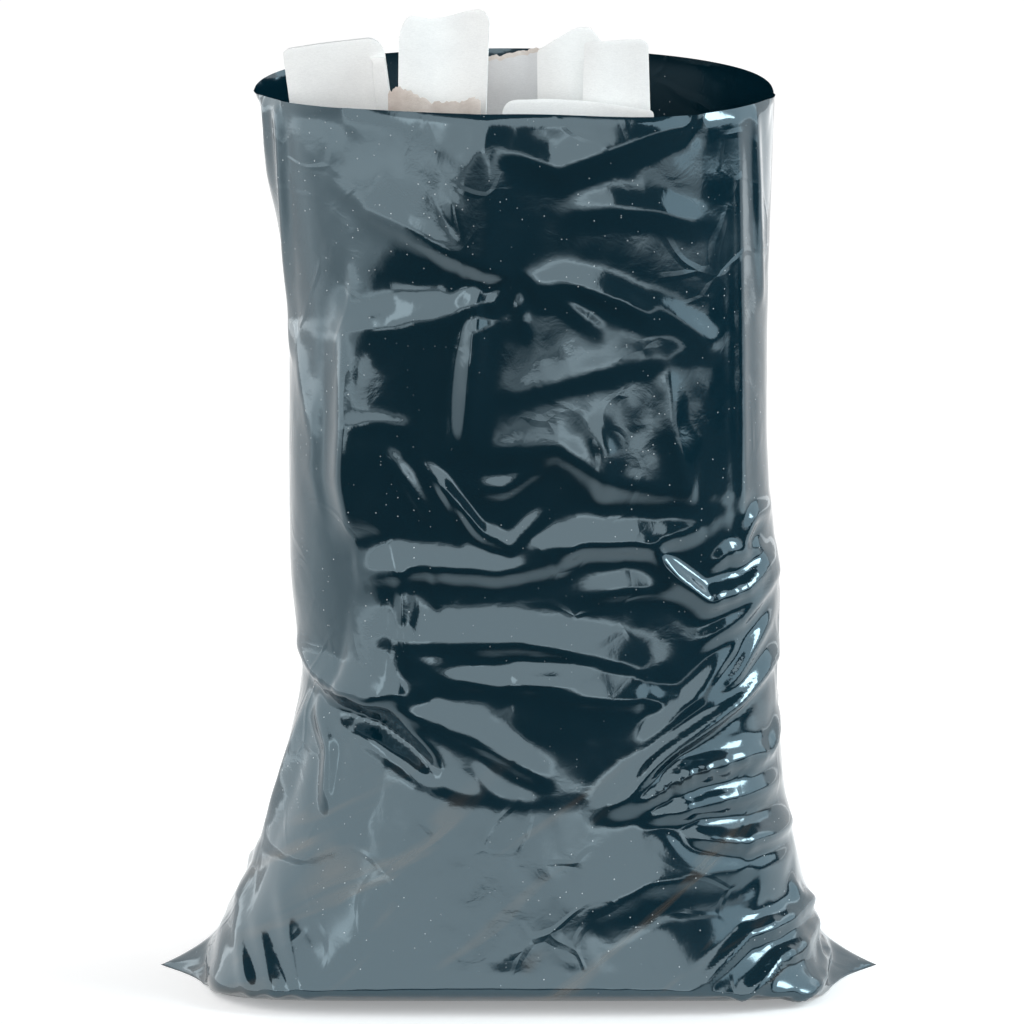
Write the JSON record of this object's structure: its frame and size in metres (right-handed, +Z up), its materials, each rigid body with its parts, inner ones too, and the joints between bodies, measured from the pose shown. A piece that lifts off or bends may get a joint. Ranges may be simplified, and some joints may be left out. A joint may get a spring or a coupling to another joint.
{
  "type": "filled bin bag",
  "caption": "Tall dark refuse sack of glossy thin film, standing open on its base seal and filled with white card waste that sticks out of the mouth.",
  "frame": {"origin": "on the floor, under the middle of the sack's footprint, ears included", "axes": "+X from the left ear to the right ear, +Y from the front to the back, +Z up from the base to the mouth"},
  "size_m": [0.648, 0.3488, 0.863],
  "materials": {
    "film": "very glossy, opaque dark blue-green polythene film",
    "card": "matt uncoated white paperboard"
  },
  "bodies": {
    "root": {"sack": "film", "carton_base_left": "card", "carton_base_middle": "card", "carton_base_right": "card", "carton_waist_left": "card", "carton_waist_right": "card", "carton_middle_left": "card", "carton_middle_right": "card", "carton_top_left": "card", "carton_top_right": "card", "flat_box": "card", "tall_flap": "card", "torn_flap": "card", "peaked_flap": "card", "square_flap": "card", "front_flap": "card", "back_sheet": "card"}
  },
  "joints": []
}
